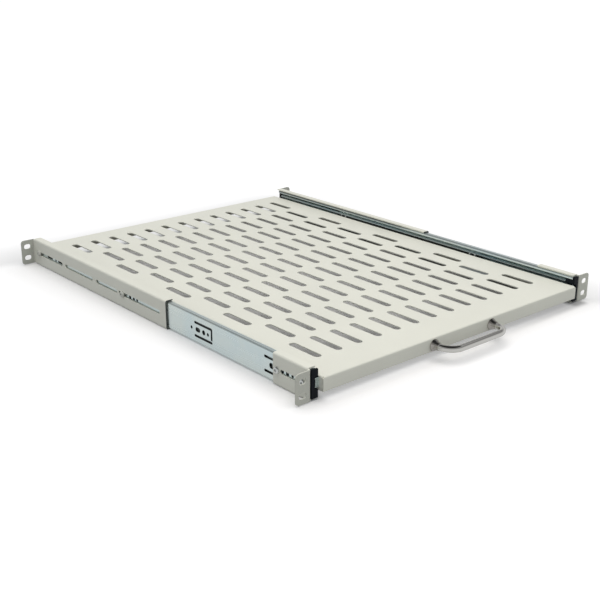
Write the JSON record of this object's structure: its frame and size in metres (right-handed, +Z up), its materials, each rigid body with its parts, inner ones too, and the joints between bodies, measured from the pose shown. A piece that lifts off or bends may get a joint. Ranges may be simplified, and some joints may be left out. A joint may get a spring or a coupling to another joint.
{
  "type": "sliding rack shelf",
  "caption": "Perforated sheet-steel shelf that pulls out of an equipment rack on telescopic ball slides, with a bow handle and slotted ears front and rear.",
  "frame": {"origin": "centre of the four front rack holes, in the plane where the front ears meet the posts", "axes": "+X right, +Y from the front to the rear, +Z up; the tray pulls out towards -Y"},
  "size_m": [0.4826, 0.621, 0.036],
  "materials": {
    "painted_sheet": "fine-textured light grey powder coat",
    "zinc_rail": "bright bluish zinc plating on rolled steel",
    "zinc_screw": "bright zinc plating",
    "cage_steel": "greased zinc plating",
    "ball_steel": "polished",
    "handle_chrome": "polished chrome plating",
    "black_plastic": "moulded, fine texture",
    "black_rubber": "matt"
  },
  "bodies": {
    "rack_sides": {"outer_rail_left": "zinc_rail", "outer_rail_right": "zinc_rail", "front_bracket_left": "painted_sheet", "front_bracket_right": "painted_sheet", "front_screws_left": "zinc_screw", "front_screws_right": "zinc_screw", "clamp_screws_left": "painted_sheet", "clamp_screws_right": "painted_sheet", "rail_spacers_left": "zinc_screw", "rail_spacers_right": "zinc_screw", "rear_stop_left": "black_rubber", "rear_stop_right": "black_rubber"},
    "tray": {"shelf_deck": "painted_sheet", "front_lip": "painted_sheet", "rear_lip": "painted_sheet", "handle_bar": "handle_chrome", "handle_collars": "handle_chrome", "handle_screws": "zinc_screw", "side_lip_left": "painted_sheet", "side_lip_right": "painted_sheet", "inner_rail_left": "zinc_rail", "inner_rail_right": "zinc_rail", "tray_screws_left": "zinc_screw", "tray_screws_right": "zinc_screw"},
    "middle_rail_left": {"middle_rail_left": "zinc_rail", "middle_bumper_left": "black_plastic"},
    "outer_cage_left": {"outer_cage_left": "cage_steel", "outer_balls_left": "ball_steel"},
    "inner_cage_left": {"inner_cage_left": "cage_steel", "inner_balls_left": "ball_steel"},
    "rear_bracket_left": {"rear_bracket_left": "painted_sheet"},
    "middle_rail_right": {"middle_rail_right": "zinc_rail", "middle_bumper_right": "black_plastic"},
    "outer_cage_right": {"outer_cage_right": "cage_steel", "outer_balls_right": "ball_steel"},
    "inner_cage_right": {"inner_cage_right": "cage_steel", "inner_balls_right": "ball_steel"},
    "rear_bracket_right": {"rear_bracket_right": "painted_sheet"}
  },
  "joints": [
    {"name": "tray_slide", "type": "slide", "parent": "rack_sides", "child": "tray", "axis": [0, -1, 0], "range_m": [0, 0.54]},
    {"name": "middle_rail_left_slide", "type": "slide", "parent": "rack_sides", "child": "middle_rail_left", "axis": [0, -1, 0], "range_m": [0, 0.27]},
    {"name": "outer_cage_left_slide", "type": "slide", "parent": "rack_sides", "child": "outer_cage_left", "axis": [0, -1, 0], "range_m": [0, 0.135]},
    {"name": "inner_cage_left_slide", "type": "slide", "parent": "rack_sides", "child": "inner_cage_left", "axis": [0, -1, 0], "range_m": [0, 0.405]},
    {"name": "rear_bracket_left_adjust", "type": "slide", "parent": "rack_sides", "child": "rear_bracket_left", "axis": [0, 1, 0], "range_m": [0, 0.06]},
    {"name": "middle_rail_right_slide", "type": "slide", "parent": "rack_sides", "child": "middle_rail_right", "axis": [0, -1, 0], "range_m": [0, 0.27]},
    {"name": "outer_cage_right_slide", "type": "slide", "parent": "rack_sides", "child": "outer_cage_right", "axis": [0, -1, 0], "range_m": [0, 0.135]},
    {"name": "inner_cage_right_slide", "type": "slide", "parent": "rack_sides", "child": "inner_cage_right", "axis": [0, -1, 0], "range_m": [0, 0.405]},
    {"name": "rear_bracket_right_adjust", "type": "slide", "parent": "rack_sides", "child": "rear_bracket_right", "axis": [0, 1, 0], "range_m": [0, 0.06]}
  ],
  "couplings": [
    {"joint": "middle_rail_left_slide", "follows": "tray_slide", "ratio": 0.5},
    {"joint": "outer_cage_left_slide", "follows": "tray_slide", "ratio": 0.25},
    {"joint": "inner_cage_left_slide", "follows": "tray_slide", "ratio": 0.75},
    {"joint": "middle_rail_right_slide", "follows": "tray_slide", "ratio": 0.5},
    {"joint": "outer_cage_right_slide", "follows": "tray_slide", "ratio": 0.25},
    {"joint": "inner_cage_right_slide", "follows": "tray_slide", "ratio": 0.75}
  ]
}
